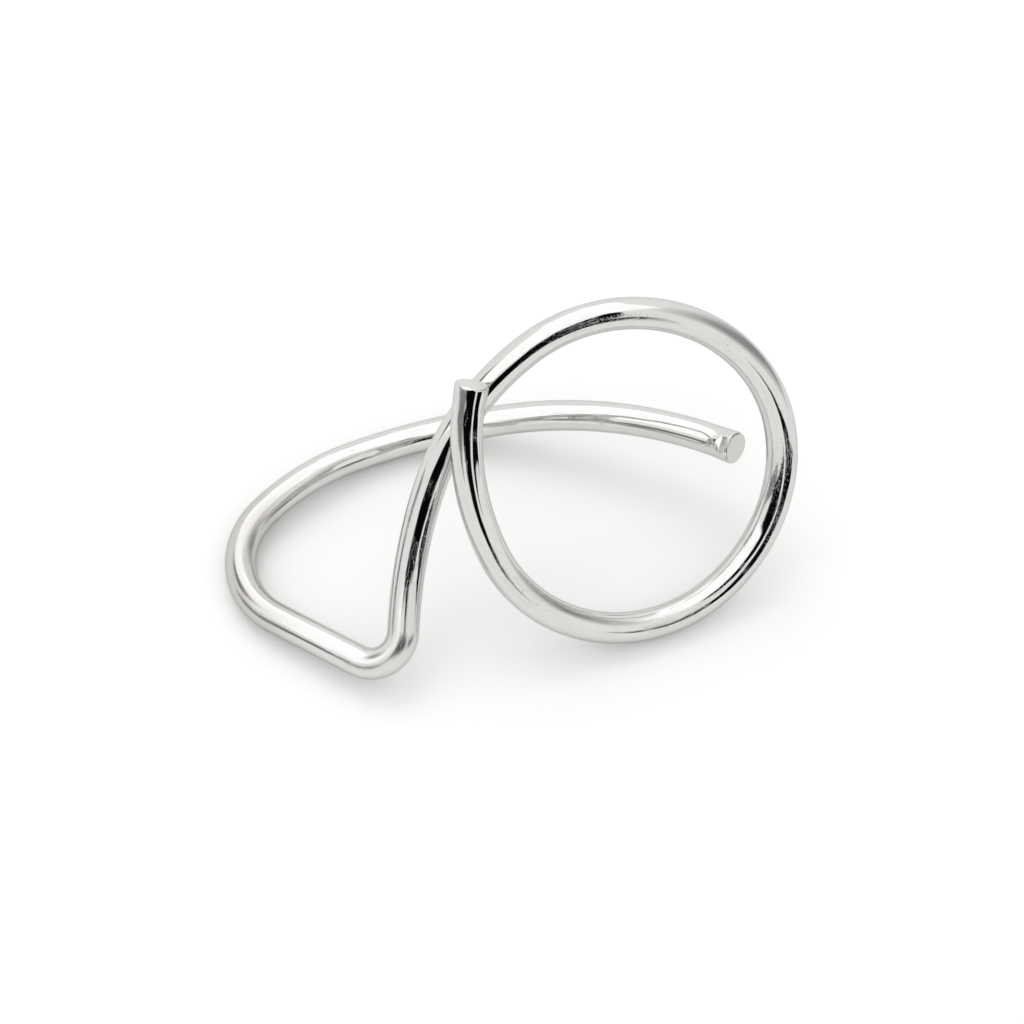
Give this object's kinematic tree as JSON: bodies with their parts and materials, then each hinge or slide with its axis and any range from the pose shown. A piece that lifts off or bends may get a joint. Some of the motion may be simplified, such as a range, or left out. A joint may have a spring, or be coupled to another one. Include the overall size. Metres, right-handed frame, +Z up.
{
  "type": "bent rod puzzle piece",
  "caption": "Polished round metal rod bent into an open hoop, a leg with a tight corner and a long hook that sweeps back behind the hoop, a member of a wire disentanglement puzzle.",
  "frame": {"origin": "centre of the piece's outline, on the floor it rests on", "axes": "+X to the right along the length, from the closed loop to the open hoop; +Y away from the side that the hoop faces; +Z up"},
  "size_m": [0.0724, 0.0399, 0.0352],
  "materials": {
    "rod": "bright polished, with faint draw lines and hairline scratches",
    "cut_face": "sheared end, satin face with a smeared bright rim"
  },
  "bodies": {
    "root": {"front_end": "cut_face", "front_stub": "rod", "hoop_lower": "rod", "hoop_side": "rod", "hoop_top": "rod", "crossover": "rod", "leg": "rod", "corner": "rod", "base_bar": "rod", "side_bend": "rod", "side_turn": "rod", "back_arc": "rod", "back_tail": "rod", "back_tip": "rod", "back_end": "cut_face"}
  },
  "joints": []
}
